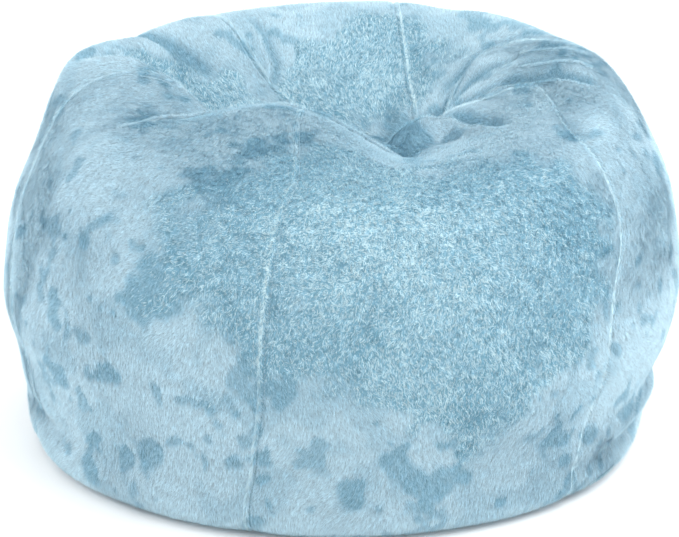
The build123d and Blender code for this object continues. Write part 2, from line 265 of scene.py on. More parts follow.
def coverSurface(azimuth, rows):
    # rows from 0 at the base seam to 1 at the brow follow the side's spline; from 1 to 2 they cross the top
    # to the cap along lines bowed in plan, at the height of the plate less what is pressed in
    a = np.radians(azimuth)
    upper = np.radians(azimuth + roundValues(cover["upperLeans"], azimuth))
    browDent = dentDepth(azimuth, np.full_like(azimuth, cover["browHeight"]))
    browReach = cover["browRadius"] - browDent
    browX, browY = browReach * np.cos(upper), browReach * np.sin(upper)
    capX = cover["pole"][0] + cover["capRadius"] * np.cos(a)
    capY = cover["pole"][1] + cover["capRadius"] * np.sin(a)
    runX, runY = capX - browX, capY - browY
    run = np.hypot(runX, runY)
    bow = roundValues(cover["bows"], azimuth)

    def plan(s):
        # the swing reaches the bow's own size two thirds of the way in
        swing = 6.75 * s * s * (1 - s) * bow
        return browX + runX * s + runY / run * swing, browY + runY * s - runX / run * swing

    share, radius, height = (np.array(v) for v in zip(*cover["side"]))
    browHeight = topHeight(browX, browY)
    belly = cover["bellyHeight"]
    lift = (browHeight - belly) / (cover["browHeight"] - belly)
    height = np.where(height[:, None] > belly, belly + (height[:, None] - belly) * lift, height[:, None])
    nextX, nextY = plan(cover["knotShare"])
    knots = np.r_[share, cover["browShare"], 1.0]
    ones = np.ones_like(azimuth)
    radii = np.vstack([radius[:, None] * ones, cover["browRadius"] * ones, np.hypot(nextX, nextY) + browDent])
    heights = np.vstack([height, browHeight, topHeight(nextX, nextY)])
    sideRows = rows[rows <= 1]
    sideHeight = curveThrough(knots, heights, sideRows * cover["browShare"])
    sideRadius = curveThrough(knots, radii, sideRows * cover["browShare"])
    sideRadius = sideRadius - dentDepth(azimuth, sideHeight)
    # seams lean round the bag above the belly and below it
    rise = softStep((sideHeight - belly) / (browHeight - belly))
    fall = softStep((belly - sideHeight) / belly)
    lean = rise * roundValues(cover["upperLeans"], azimuth) + fall * roundValues(cover["lowerLeans"], azimuth)
    turned = np.radians(azimuth + lean)
    side = np.stack([sideRadius * np.cos(turned), sideRadius * np.sin(turned), sideHeight], -1)
    s = (rows[rows > 1] - 1)[:, None]
    topX, topY = plan(s)
    top = np.stack([topX, topY, topHeight(topX, topY) - pressedDepth(topX, topY)], -1)
    return np.concatenate([side, top])


def gridNormals(points, closed=True):
    # outward normal at each point: the step round the bag crossed with the step up it
    up = np.gradient(points, axis=0)
    across = np.roll(points, -1, 1) - np.roll(points, 1, 1) if closed else np.gradient(points, axis=1)
    return unit(np.cross(across, up))


def seamRelief(distance):
    # height off the plain surface at a signed distance from the seam; the sewn band is on the positive side
    ease, band = seam["bandEase"], seam["band"]
    inBand = softStep((distance - ease) / ease) * softStep((band + ease - distance) / ease)
    pulled = seam["pull"] * np.exp(-(np.abs(distance) / seam["reach"]) ** seam["pullPower"])
    raised = seam["ridge"] * np.exp(-(distance / seam["ridgeWidth"]) ** 2)
    grooved = seam["groove"] * np.exp(-((distance - band) / seam["grooveWidth"]) ** 2)
    return raised - pulled - seam["bandDepth"] * inBand - grooved


def smoothBrow(points):
    # averages each row with its two neighbours many times, most at the brow and less away from it
    brow = cover["sideRows"] - 1
    index = np.arange(1, len(points) - 1)
    share = np.exp(-((index - brow) / cover["browRows"]) ** 2)[:, None, None]
    for _ in range(cover["browPasses"]):
        points[1:-1] += share * (0.25 * points[:-2] + 0.25 * points[2:] - 0.5 * points[1:-1])
    return points


def goreColumns(number):
    # the columns of one gore in the whole grid, both of its seams among them
    return np.arange(number * goreWidth, (number + 1) * goreWidth + 1) % (cover["seams"] * goreWidth)


def distanceToSeam(points):
    # summed steps along each row from the gore's two seams; the nearer one, negative before a seam
    signed = np.zeros(points.shape[:2])
    for number in range(cover["seams"]):
        columns = goreColumns(number)
        steps = np.linalg.norm(np.diff(points[:, columns], axis=1), axis=-1)
        after = np.c_[np.zeros(len(points)), np.cumsum(steps, axis=1)]
        before = after[:, -1:] - after
        signed[:, columns[:-1]] = np.where(after < before, after, -before)[:, :-1]
    return signed


# the whole cover as one closed grid: rows from the base seam to the cap, columns round the bag
goreTurn = 360 / cover["seams"]
gap = 2 * math.pi * max(radius for _, radius, _ in cover["side"]) / cover["seams"]
middle = np.linspace(cover["after"][-1], gap - cover["before"][0], cover["middleColumns"] + 2)[1:-1]
columnsAt = np.r_[cover["after"], middle, gap - np.array(cover["before"])] / gap * goreTurn
goreWidth = len(columnsAt)
goreStarts = [cover["firstSeam"] + goreTurn * number for number in range(cover["seams"])]
azimuths = np.concatenate([start + columnsAt for start in goreStarts])
rows = np.r_[np.linspace(0, 1, cover["sideRows"]), 1 + np.linspace(0, 1, cover["topRows"])[1:]]
plainCover = smoothBrow(coverSurface(azimuths, rows))
seamDistance = distanceToSeam(plainCover)
coverPoints = plainCover + gridNormals(plainCover) * seamRelief(seamDistance)[..., None]
coverPoints[..., 2] = np.maximum(coverPoints[..., 2], 0)
coverNormals = gridNormals(coverPoints)
print("cover grid:", coverPoints.shape[0], "rows by", coverPoints.shape[1], "columns")


def gridFaces(rowCount, columnCount, closed=False):
    # one quad between each four neighbours of a grid
    index = np.arange(rowCount * columnCount).reshape(rowCount, columnCount)
    if closed:
        index = np.c_[index, index[:, :1]]
    return np.stack([index[:-1, :-1], index[:-1, 1:], index[1:, 1:], index[1:, :-1]], -1).reshape(-1, 4)


def meshFrom(name, points, quads, triangles=None, normals=None, places=None, values=None):
    # a mesh from whole arrays: quads, then triangles; normals, UV places and pile values are one to a point
    triangles = np.zeros((0, 3), int) if triangles is None else triangles
    corners = np.r_[quads.ravel(), triangles.ravel()].astype(np.int32)
    starts = np.r_[np.arange(len(quads)) * 4, quads.size + np.arange(len(triangles)) * 3]
    mesh = bpy.data.meshes.new(name)
    mesh.vertices.add(len(points))
    mesh.vertices.foreach_set("co", points.astype(np.float32).ravel())
    mesh.loops.add(len(corners))
    mesh.loops.foreach_set("vertex_index", corners)
    mesh.polygons.add(len(starts))
    mesh.polygons.foreach_set("loop_start", starts.astype(np.int32))
    mesh.update(calc_edges=True)
    mesh.shade_smooth()
    if places is not None:
        mesh.uv_layers.new(name="OFBake").uv.foreach_set("vector", places[corners].astype(np.float32).ravel())
    if values is not None:
        layer = mesh.attributes.new("pile", "FLOAT_COLOR", "POINT")
        layer.data.foreach_set("color", np.c_[values, np.ones(len(values))].astype(np.float32).ravel())
    if normals is not None:
        mesh.normals_split_custom_set_from_vertices(normals.astype(np.float32))
    piece = bpy.data.objects.new(name, mesh)
    bpy.context.scene.collection.objects.link(piece)
    return piece


def settle(piece, nodes, body, material):
    # what every finished piece is told: what it stands for, its finish and the body it moves with
    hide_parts(*nodes)
    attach(piece, body)
    piece.data.materials.append(material)


# the pile: flattened fibres over the whole cover, combed towards the base, scuffed and tufted in patches
pile = dict(
    perGore=190000, seed=7, length=0.0066, scuffedLength=0.0058, bandLength=0.0026, lengthSpread=(0.75, 1.15),
    width=0.00100, widthSpread=(0.7, 1.2),
    # degrees off the normal, then degrees round it from straight down
    combedLean=56, scuffedLean=56, bandLean=80, leastLean=8, mostLean=84,
    combedSpread=8, scuffedSpread=18, leanNoise=1.4, leanStray=0.5,
    turn=55, tuftTurn=90, combedStray=5, scuffedStray=27,
    # size of a tuft, how far a fibre's normal follows the skin's, least height of a tip
    tuft=0.0055, roundness=0.55, floorGap=0.0004,
    # the sewn band, where fibres are short and flat: where it starts and how softly
    bandStart=0.0012, bandSoftness=0.0012, bandMargin=0.0008, bandEndSoftness=0.0016,
)

# brightness of tips and roots, mostly painted light: painted highlights on sparkling fibres, on a seam's
# ridge and tuft by tuft, painted bounce light near the floor, and painted shade at the roots
glints = dict(
    sparkleLeast=0.18, sparkleNoise=0.22, sparkleCell=0.045,
    ridgeAt=-0.0012, ridgeWidth=0.0019, ridgeLeast=0.5, ridgeNoise=0.9, ridgeCell=0.006, combedRidge=0.35,
    lowHeight=0.06, tip=0.78, tufts=0.7, tuftMiddle=0.6, stray=0.15, band=0.4,
    tipSparkle=0.9, tipRidge=1.5, tipLow=0.15, root=0.35, rootSparkle=0.85, rootRidge=1.2, rootLow=0.1,
)

# layers of noise that break up the patches and swirl the pile: share, cell and seed of each
layers = dict(
    scuffed=[(0.55, 0.085, 11), (0.35, 0.03, 12)], blotch=[(0.55, 0.045, 21), (0.45, 0.015, 22)],
    mottle=[(0.6, 0.07, 24), (0.4, 0.024, 25)], swirl=[(2, 0.10, 31), (1, 0.035, 32)],
)
latticeSize = 32

# each kind of patch: where its edge starts, how wide the edge is, and how strong the patch
edges = dict(
    scuffed=(0.70, 0.34, 1.0), placed=(0.25, 0.4, 0.9), blotch=(0.61, 0.10, 0.75), mottle=(0.50, 0.14, 0.30),
    dabs=(0.3, 0.4, 0.8),
)

# how far noise leads each kind of place astray, and the noise's cell
stray = dict(scuffs=0.05, gleams=0.05, tealAndShadeSpots=0.03, cell=0.030, dabs=0.02, dabCell=0.020)
# teal places: how noise varies them, from what height creases are painted darker as shade and how strongly,
# and their share in a band
teal = dict(least=0.5, noise=1.3, cell=0.016, creaseShadeAbove=0.38, creaseShadeScale=112, band=0.35)

# scuffed places, where the fibres stand every way: x, y, height, reach, strength
scuffs = [
    # combed places that hold the scuffing back
    (-0.119, 0.177, 0.526, 0.05, -1.4), (-0.1, 0.134, 0.5, 0.03, -1.2), (-0.11, 0.09, 0.47, 0.02, -0.9),
    (-0.2, 0.2, 0.545, 0.07, -1.4), (-0.06, 0.23, 0.55, 0.06, -1.0), (-0.3, -0.1, 0.5, 0.09, -0.8),
    (0.26, -0.02, 0.505, 0.08, -1.0), (0.13, -0.3, 0.46, 0.03, -0.8),
    # scuffed places
    (0.077, -0.409, 0.42, 0.15, 1.0), (0.2, -0.4, 0.36, 0.13, 0.8), (0.0, -0.36, 0.45, 0.1, 0.9),
    (0.167, -0.45, 0.206, 0.09, 0.9), (0.1, -0.45, 0.3, 0.12, 0.7), (-0.165, -0.362, 0.446, 0.09, 0.5),
    (-0.1, -0.43, 0.3, 0.13, 0.3), (-0.228, -0.409, 0.34, 0.05, 0.4), (-0.013, 0.111, 0.475, 0.1, 1.1),
    (-0.27, 0.06, 0.51, 0.06, 1.2), (-0.19, 0.05, 0.46, 0.06, 1.2), (0.04, 0.16, 0.5, 0.06, 0.8),
    (0.08, 0.22, 0.54, 0.04, 0.8), (0.089, 0.161, 0.5, 0.06, 0.7), (0.285, -0.387, 0.278, 0.05, 0.8),
    (0.3, -0.3, 0.43, 0.08, 0.6), (0.131, -0.433, 0.074, 0.05, 0.25), (0.1, -0.46, 0.13, 0.09, -0.5),
    (-0.05, -0.46, 0.13, 0.09, -0.4), (0.33, 0.2, 0.4, 0.14, 0.8), (-0.25, 0.38, 0.36, 0.16, 0.8),
    (0.05, 0.46, 0.3, 0.16, 0.7), (0.45, 0.05, 0.25, 0.12, 0.6), (-0.45, 0.12, 0.28, 0.12, 0.6),
    (-0.15, 0.44, 0.16, 0.12, 0.6), (0.3, 0.36, 0.2, 0.12, 0.7),
]
# scuffed places that catch the most light
gleams = [
    (0.03, -0.38, 0.43, 0.11, 0.5), (0.2, -0.38, 0.38, 0.12, 0.22), (0.1, -0.45, 0.27, 0.1, 0.12),
    (0.0, 0.13, 0.48, 0.1, 0.12), (-0.19, 0.05, 0.46, 0.08, 0.15),
]
# small upright dabs low on the sides, like the teal places below
dabs = dict(count=70, low=0.03, high=0.27, crowding=1.6, least=0.005, most=0.012, upright=1.9, seed=19)
# teal places, where the pile lies away and shows its depth; the three on the first line, in the seat's hollow
# round the gathered cap, and the two in the valley behind the left of the front lip are painted shade in
# those hollows
tealAndShadeSpots = [
    (0.105, -0.02, 0.4, 0.06, 2.5), (0.095, -0.11, 0.45, 0.03, 0.9), (0.07, -0.04, 0.44, 0.03, 2.0),
    (0.078, -0.45, 0.115, 0.022, 1.2), (0.12, -0.44, 0.085, 0.026, 1.3),
    (0.014, -0.452, 0.075, 0.02, 1.2), (0.16, -0.43, 0.1, 0.015, 1.1), (-0.24, -0.11, 0.49, 0.03, 0.8),
    (-0.262, -0.15, 0.487, 0.03, 0.9), (0.29, -0.01, 0.52, 0.03, 0.8), (-0.228, -0.409, 0.34, 0.045, 1.2),
    (-0.378, -0.298, 0.274, 0.022, 1.1), (-0.377, -0.291, 0.186, 0.02, 1.2),
    (-0.305, -0.371, 0.21, 0.017, 1.1), (-0.291, -0.347, 0.087, 0.018, 1.1),
    (-0.248, -0.38, 0.108, 0.022, 1.1), (-0.334, -0.299, 0.038, 0.02, 1.0),
    (-0.134, -0.434, 0.109, 0.018, 0.9), (-0.068, -0.477, 0.23, 0.018, 0.9),
    (-0.16, -0.33, 0.47, 0.05, 0.55), (0.285, -0.387, 0.278, 0.03, 0.9), (0.167, -0.45, 0.206, 0.06, 0.7),
    (-0.1, -0.25, 0.48, 0.05, 0.45), (0.29, -0.36, 0.4, 0.03, 0.9), (0.33, -0.3, 0.36, 0.025, 0.9),
    (0.39, -0.24, 0.33, 0.02, 0.9), (0.42, -0.2, 0.28, 0.018, 0.9), (0.4, -0.24, 0.22, 0.018, 0.9),
    (0.37, -0.26, 0.15, 0.02, 0.9), (0.34, -0.3, 0.1, 0.022, 0.9), (0.3, 0.33, 0.28, 0.05, 1.0),
    (-0.1, 0.46, 0.32, 0.05, 1.0), (-0.42, 0.2, 0.2, 0.03, 1.0), (0.2, 0.42, 0.12, 0.03, 1.0),
    (-0.3, 0.34, 0.12, 0.03, 1.0), (0.46, 0.08, 0.14, 0.03, 1.0),
]


def softNoise(points, cell, seed):
    # random values on a turned lattice, eased between the eight corners of each point's cell; from 0 to 1
    draw = np.random.default_rng(seed)
    lattice = draw.random((latticeSize,) * 3)
    turned = np.linalg.qr(draw.normal(size=(3, 3)))[0]
    scaled = points @ turned / cell + 500
    corner = np.floor(scaled).astype(int)
    share = scaled - corner
    share = share * share * (3 - 2 * share)
    total = 0
    for step in np.ndindex(2, 2, 2):
        weight = np.where(step, share, 1 - share).prod(-1)
        near = (corner + step) % latticeSize
        total = total + weight * lattice[near[..., 0], near[..., 1], near[..., 2]]
    return total


def layeredNoise(points, name):
    return sum(share * softNoise(points, cell, seed) for share, cell, seed in layers[name])


def patchEdge(value, name):
    start, width, strength = edges[name]
    return strength * softStep((value - start) / width)


def ledAstray(points, reach, cell, firstSeed):
    shifts = [softNoise(points, cell, firstSeed + axis) - 0.5 for axis in range(3)]
    return points + reach * np.stack(shifts, -1)


def placeSum(points, places, reach):
    # each place adds a bell of its own reach and strength, its outline led astray by noise
    points = ledAstray(points, reach, stray["cell"], 41)
    total = np.zeros(points.shape[:-1])
    for x, y, z, size, strength in places:
        total += strength * np.exp(-((points - (x, y, z)) ** 2).sum(-1) / size**2)
    return total


def scuffedShare(points):
    # how scuffed the pile is: the named places broken up by noise, with an edge between combed and scuffed
    return patchEdge(placeSum(points, scuffs, stray["scuffs"]) + layeredNoise(points, "scuffed"), "scuffed")


def dabSum(points):
    # the dabs lie at seeded places round the bag, each leaning a little
    points = ledAstray(points, stray["dabs"], stray["dabCell"], 44)
    around = np.arctan2(points[..., 1], points[..., 0]) / (2 * np.pi)
    total = np.zeros(points.shape[:-1])
    draw = np.random.default_rng(dabs["seed"])
    for turn, rise, size, lean in draw.random((dabs["count"], 4)):
        up = points[..., 2] - dabs["low"] - (dabs["high"] - dabs["low"]) * rise ** dabs["crowding"]
        across = cover["girth"] * ((around - turn) % 1 - 0.5) * 2 * np.pi + (lean - 0.5) * up
        reach = dabs["least"] + (dabs["most"] - dabs["least"]) * size
        total += np.exp(-(across**2 + (up / dabs["upright"]) ** 2) / reach**2)
    return total


def tealAndShadeShare(points):
    # how teal the pile is and how much painted shade it gets: the named places (some of them painted shade in
    # hollows), blotches where two sizes of noise meet, dabs, and creases darkened as painted shade
    uneven = teal["least"] + teal["noise"] * softNoise(points, teal["cell"], 23)
    total = patchEdge(placeSum(points, tealAndShadeSpots, stray["tealAndShadeSpots"]) * uneven, "placed")
    for name in ("blotch", "mottle"):
        total += patchEdge(layeredNoise(points, name), name)
    # painted shade: above a height, the creases and hollows pressed into the top darken by their depth
    pressed = np.where(points[..., 2] > teal["creaseShadeAbove"], pressedDepth(points[..., 0], points[..., 1]), 0)
    total += patchEdge(dabSum(points), "dabs")
    return np.clip(total + teal["creaseShadeScale"] * np.maximum(pressed, 0), 0, 1)


def fibreShape(root, normal, down, scuffed, inBand, rng):
    # each fibre's tip, half its width and its normal; it is turned from straight down by a slow swirl, and
    # much more by tufts where the pile is scuffed
    def blend(name):
        combed, other = pile["combed" + name], pile["scuffed" + name]
        return combed + (other - combed) * scuffed

    swirl = layeredNoise(root, "swirl") - sum(size for size, _, _ in layers["swirl"]) / 2
    tuft = (softNoise(root, pile["tuft"], 33) - 0.5) * 2
    turn = pile["turn"] * swirl + pile["tuftTurn"] * scuffed * tuft + rng.normal(0, blend("Stray"))
    turn = np.radians(turn)[:, None]
    uneven = pile["leanNoise"] * (softNoise(root, pile["tuft"], 34) - 0.5) * 2
    uneven = uneven + pile["leanStray"] * rng.normal(0, 1, len(root))
    lean = np.clip(blend("Lean") + blend("Spread") * uneven, pile["leastLean"], pile["mostLean"])
    length = pile["length"] + (pile["scuffedLength"] - pile["length"]) * scuffed
    length = length * rng.uniform(*pile["lengthSpread"], len(root))
    lean = np.radians(lean + (pile["bandLean"] - lean) * inBand)[:, None]
    length = (length + (pile["bandLength"] - length) * inBand)[:, None]
    flat = np.cos(turn) * down + np.sin(turn) * unit(np.cross(normal, down))
    grow = np.cos(lean) * normal + np.sin(lean) * flat
    broad = unit(np.cross(grow, normal)) * pile["width"] / 2
    broad = broad * rng.uniform(*pile["widthSpread"], (len(root), 1))
    tip = root + grow * length
    tip[:, 2] = np.maximum(tip[:, 2], pile["floorGap"])
    facing = unit(np.cross(broad, grow))
    facing *= np.sign((facing * normal).sum(-1, keepdims=True))
    return tip, broad, unit(normal * pile["roundness"] + facing * (1 - pile["roundness"]))


def fibreBrightness(root, scuffed, inBand, seamAway, rng):
    # brightness at the root and the tip, painted light along each fibre: painted shade at the root, painted
    # highlights where some scuffed fibres sparkle and on those on a seam's ridge, and painted bounce light
    # near the floor; a little random tone per fibre too
    # painted highlights: the share of scuffed fibres that sparkle, most in the gleams
    chance = glints["sparkleLeast"] + glints["sparkleNoise"] * softNoise(root, glints["sparkleCell"], 35)
    sparkle = rng.random(len(root)) < scuffed * (chance + placeSum(root, gleams, stray["gleams"]))
    # painted highlight: fibres on each seam's ridge made pale
    ridge = np.exp(-((seamAway - glints["ridgeAt"]) / glints["ridgeWidth"]) ** 2)
    ridge = ridge * (glints["ridgeLeast"] + glints["ridgeNoise"] * softNoise(root, glints["ridgeCell"], 36))
    ridge = ridge * (glints["combedRidge"] + (1 - glints["combedRidge"]) * scuffed)
    # painted bounce light from the floor: fibres paler near the base
    low = softStep((glints["lowHeight"] - root[:, 2]) / glints["lowHeight"])
    # painted highlights tuft by tuft where the pile is scuffed
    tufts = glints["tufts"] * scuffed * (softNoise(root, pile["tuft"], 37) - glints["tuftMiddle"])
    atTip = glints["tip"] + tufts + rng.uniform(-glints["stray"], glints["stray"], len(root))
    atTip = atTip * (1 - glints["band"] * inBand)
    atTip = atTip + glints["tipSparkle"] * sparkle + glints["tipRidge"] * ridge + glints["tipLow"] * low
    atRoot = glints["root"] + glints["rootSparkle"] * sparkle
    return atRoot + glints["rootRidge"] * ridge + glints["rootLow"] * low, atTip


def plushPatch(name, points, normals, places, count, distance, rng):
    # skin and fibres of one panel in one mesh; a fibre is a triangle from a root on the skin to its tip
    rowCount, columnCount = points.shape[:2]
    corners = points[:-1, :-1], points[:-1, 1:], points[1:, 1:], points[1:, :-1]
    area = np.linalg.norm(np.cross(corners[2] - corners[0], corners[3] - corners[1]), axis=-1).ravel() / 2
    cell = rng.choice(area.size, count, p=area / area.sum())
    row, column = np.divmod(cell, columnCount - 1)
    upShare, acrossShare = rng.random((2, count, 1))

    def at(field):
        low = field[row, column] * (1 - acrossShare) + field[row, column + 1] * acrossShare
        high = field[row + 1, column] * (1 - acrossShare) + field[row + 1, column + 1] * acrossShare
        return low * (1 - upShare) + high * upShare

    root, normal = at(points), unit(at(normals))
    down = unit(-at(np.gradient(points, axis=0)))
    seamAway = at(distance[..., None])[:, 0]
    scuffed = scuffedShare(root)
    bandEnd = seam["band"] + pile["bandMargin"]
    inBand = softStep((seamAway - pile["bandStart"]) / pile["bandSoftness"])
    inBand = inBand * softStep((bandEnd - seamAway) / pile["bandEndSoftness"])
    tip, broad, rootNormal = fibreShape(root, normal, down, scuffed, inBand, rng)
    atRoot, atTip = fibreBrightness(root, scuffed, inBand, seamAway, rng)
    skin = points.reshape(-1, 3)
    fibres = np.stack([root - broad, root + broad, tip], 1).reshape(-1, 3)
    tealAndShade = np.clip(tealAndShadeShare(root) + teal["band"] * inBand, 0, 1)
    skinValues = np.c_[np.full(len(skin), 0.5), scuffedShare(skin), tealAndShadeShare(skin)]
    brightness = np.stack([atRoot, atRoot, atTip], -1).ravel()
    fibreValues = np.c_[brightness, np.repeat(scuffed, 3), np.repeat(tealAndShade, 3)]
    triangles = len(skin) + np.arange(count * 3).reshape(-1, 3)
    # wound so that the front of each fibre faces out
    turned = (np.cross(fibres[1::3] - fibres[::3], fibres[2::3] - fibres[::3]) * rootNormal).sum(-1) < 0
    triangles[turned] = triangles[turned][:, [1, 0, 2]]
    return meshFrom(
        name, np.r_[skin, fibres], gridFaces(rowCount, columnCount), triangles,
        np.r_[normals.reshape(-1, 3), np.repeat(rootNormal, 3, axis=0)],
        np.r_[places.reshape(-1, 2), np.repeat(at(places), 3, axis=0)], np.r_[skinValues, fibreValues])


def newMaterial(name):
    material = bpy.data.materials.new(name)
    material.use_nodes = True
    material.node_tree.nodes.clear()
    return material, material.node_tree


def setSocket(tree, socket, value):
    if isinstance(value, bpy.types.NodeSocket):
        tree.links.new(value, socket)
    else:
        socket.default_value = value


def addNode(tree, kind, settings=None, **inputs):
    # inputs are numbers, colours or another node's output; a space in a socket's name is an underscore, and i
    # with a number is the socket of that number
    node = tree.nodes.new("ShaderNode" + kind)
    for key, value in (settings or {}).items():
        setattr(node, key, value)
    for key, value in inputs.items():
        numbered = key[0] == "i" and key[1:].isdigit()
        setSocket(tree, node.inputs[int(key[1:]) if numbered else key.replace("_", " ")], value)
    return node


def mixColour(tree, share, first, second, way="MIX"):
    settings = dict(data_type="RGBA", blend_type=way, clamp_result=False)
    return addNode(tree, "Mix", settings, i0=share, i6=first, i7=second).outputs[2]


def multiply(tree, first, second):
    return addNode(tree, "Math", dict(operation="MULTIPLY"), i0=first, i1=second).outputs[0]


def mapRange(tree, value, fromMin, fromMax, toMin, toMax):
    ends = dict(From_Min=fromMin, From_Max=fromMax, To_Min=toMin, To_Max=toMax)
    return addNode(tree, "MapRange", Value=value, **ends).outputs[0]


def objectPlace(tree):
    return addNode(tree, "TexCoord").outputs["Object"]


def noiseTexture(tree, place, scale, detail=2.0, **inputs):
    return addNode(tree, "TexNoise", Vector=place, Scale=scale, Detail=detail, **inputs).outputs[0]


def waveTexture(tree, place, direction, scale, **inputs):
    settings = dict(bands_direction=direction)
    return addNode(tree, "TexWave", settings, Vector=place, Scale=scale, **inputs).outputs["Fac"]


def finishMaterial(tree, colour, bump=None, strength=0.3, distance=0.0005, through=0.0, **inputs):
    # the Principled shader at the end of every finish, with its bump; a fibre also lets some light through
    if bump is not None:
        inputs["Normal"] = addNode(tree, "Bump", Height=bump, Strength=strength, Distance=distance).outputs[0]
    shader = addNode(tree, "BsdfPrincipled", Base_Color=colour, **inputs)
    output = addNode(tree, "OutputMaterial")
    if through:
        behind = addNode(tree, "BsdfTranslucent", Color=colour)
        shader = addNode(tree, "MixShader", i0=through, i1=shader.outputs[0], i2=behind.outputs[0])
    tree.links.new(shader.outputs[0], output.inputs[0])


def tone(red, green, blue):
    return (red, green, blue, 1)


# plush: combed pale blue, scuffed deeper with painted highlights where it sparkles, teal where the pile lies
# away and as painted shade in creases and hollows; painted highlights toward the fibre tips and painted shade
# at their roots; streaks run down it
plushLook = dict(
    combed=tone(0.60, 0.785, 0.875), scuffed=tone(0.30, 0.565, 0.70), tealAndShade=tone(0.23, 0.50, 0.64),
    tip=tone(0.86, 0.99, 1.0), rootShade=0.62, rootFrom=(0.3, 0.55), tipFrom=(0.4, 1.4), tealAndShadeMost=0.8,
    tipMost=0.85, through=0.45, streaks=(260, 90, 1), streakFrom=(0.3, 0.7), streakTo=(0.78, 1.18),
    bump=(0.4, 0.0006),
)


def plushMaterial(look):
    material, tree = newMaterial("plush")
    values = addNode(tree, "Attribute", dict(attribute_name="pile")).outputs["Color"]
    tipShare, scuffed, tealAndShade = addNode(tree, "SeparateColor", Color=values).outputs
    place = addNode(tree, "UVMap", dict(uv_map="OFBake")).outputs[0]
    streaks = addNode(tree, "Mapping", Vector=place, Scale=look["streaks"]).outputs[0]
    streak = noiseTexture(tree, streaks, 1.0, Roughness=0.6)
    fleck = mapRange(tree, streak, *look["streakFrom"], *look["streakTo"])
    colour = mixColour(tree, scuffed, look["combed"], look["scuffed"])
    # teal patches and painted shade in creases and hollows darken the colour
    colour = mixColour(tree, multiply(tree, tealAndShade, look["tealAndShadeMost"]), colour, look["tealAndShade"])
    # painted highlight: each fibre paler toward its tip
    tipPart = mapRange(tree, tipShare, *look["tipFrom"], 0.0, look["tipMost"])
    colour = mixColour(tree, tipPart, colour, look["tip"])
    # painted shade: each fibre darker at its root
    rootPart = mapRange(tree, tipShare, *look["rootFrom"], look["rootShade"], 1.0)
    colour = mixColour(tree, 1.0, colour, fleck, "MULTIPLY")
    colour = mixColour(tree, 1.0, colour, rootPart, "MULTIPLY")
    finishMaterial(tree, colour, streak, *look["bump"], look["through"], Roughness=0.72, Sheen_Weight=0.35,
                   Sheen_Roughness=0.4, Sheen_Tint=tone(0.85, 0.95, 1.0), Specular_IOR_Level=0.35)
    return material


plush = plushMaterial(plushLook)
goreNames = ["front", "right", "back_right", "back_left", "left", "front_left"]
rng = np.random.default_rng(pile["seed"])
# each gore's UV places fill the square but for a narrow margin
goreMargin = 0.01
goreRows, goreAcross = np.meshgrid(
    np.linspace(goreMargin, 1 - goreMargin, len(rows)),
    np.r_[columnsAt, goreTurn] / goreTurn * (1 - 2 * goreMargin) + goreMargin, indexing="ij")
for number, place in enumerate(goreNames):
    columns = goreColumns(number)
    distance = seamDistance[:, columns].copy()
    distance[:, -1] = 0
    panel = plushPatch(f"coverPanel.{place}", coverPoints[:, columns], coverNormals[:, columns],
                       np.stack([goreAcross, goreRows], -1), pile["perGore"], distance, rng)
    settle(panel, [f"cover_panel_{place}"], "bag", plush)
    print("plush panel:", place, len(panel.data.polygons), "faces")


def weld(piece):
    # points that fall on each other become one, which closes poles and tube ends
    form = bmesh.new()
    form.from_mesh(piece.data)
    bmesh.ops.remove_doubles(form, verts=form.verts, dist=1e-6)
    bmesh.ops.dissolve_degenerate(form, edges=form.edges, dist=1e-7)
    bmesh.ops.recalc_face_normals(form, faces=form.faces)
    form.to_mesh(piece.data)
    form.free()
    piece.data.shade_smooth()


def gridPiece(name, spots, closed=False, places=None):
    # a mesh of one grid of points, welded when it is closed
    piece = meshFrom(name, spots.reshape(-1, 3), gridFaces(*spots.shape[:2], closed=closed), places=places)
    if closed:
        weld(piece)
    return piece


def thicken(piece, thickness):
    wall = piece.modifiers.new("wall", "SOLIDIFY")
    wall.thickness = thickness
    wall.offset = -1.0


def towardsMiddle(ring, rowCount, dish, least=0.0):
    # rows from a closed ring in to its middle, sagging by a dish that is deepest at the middle
    middle = ring.mean(axis=0)
    share = np.linspace(1, least, rowCount)[:, None, None]
    points = middle + (ring - middle) * share
    points[..., 2] -= dish * (1 - share[..., 0] ** 2)
    return points


# cap: the small hexagon that the six gores gather into, at the bottom of the seat's hollow
cap = dict(rows=9, dish=0.006, fibres=7000, least=0.01, placeRim=0.48, placeMiddle=0.005, seamAway=1.0)
capRing = towardsMiddle(coverPoints[-1], cap["rows"], cap["dish"], cap["least"])
capRing = np.concatenate([capRing, capRing[:, :1]], axis=1)
capAngle = np.linspace(0, 2 * math.pi, capRing.shape[1])
capReach = np.linspace(cap["placeRim"], cap["placeMiddle"], cap["rows"])[:, None]
capPlaces = np.stack([0.5 + capReach * np.cos(capAngle), 0.5 + capReach * np.sin(capAngle)], -1)
coverCap = plushPatch("coverCap", capRing, gridNormals(capRing, closed=False), capPlaces, cap["fibres"],
                      np.full(capRing.shape[:2], cap["seamAway"]), rng)
settle(coverCap, ["cover_top_cap"], "bag", plush)


# thread: one row of stitches sunk in the sewn band beside each seam
thread = dict(stitch=0.0042, gap=0.0011, radius=0.00042, sides=6, steps=7, rise=0.0016, sink=0.0004,
              firstRow=4, lastShare=0.965, twists=420.0, dark=tone(0.30, 0.50, 0.62),
              pale=tone(0.62, 0.82, 0.92))


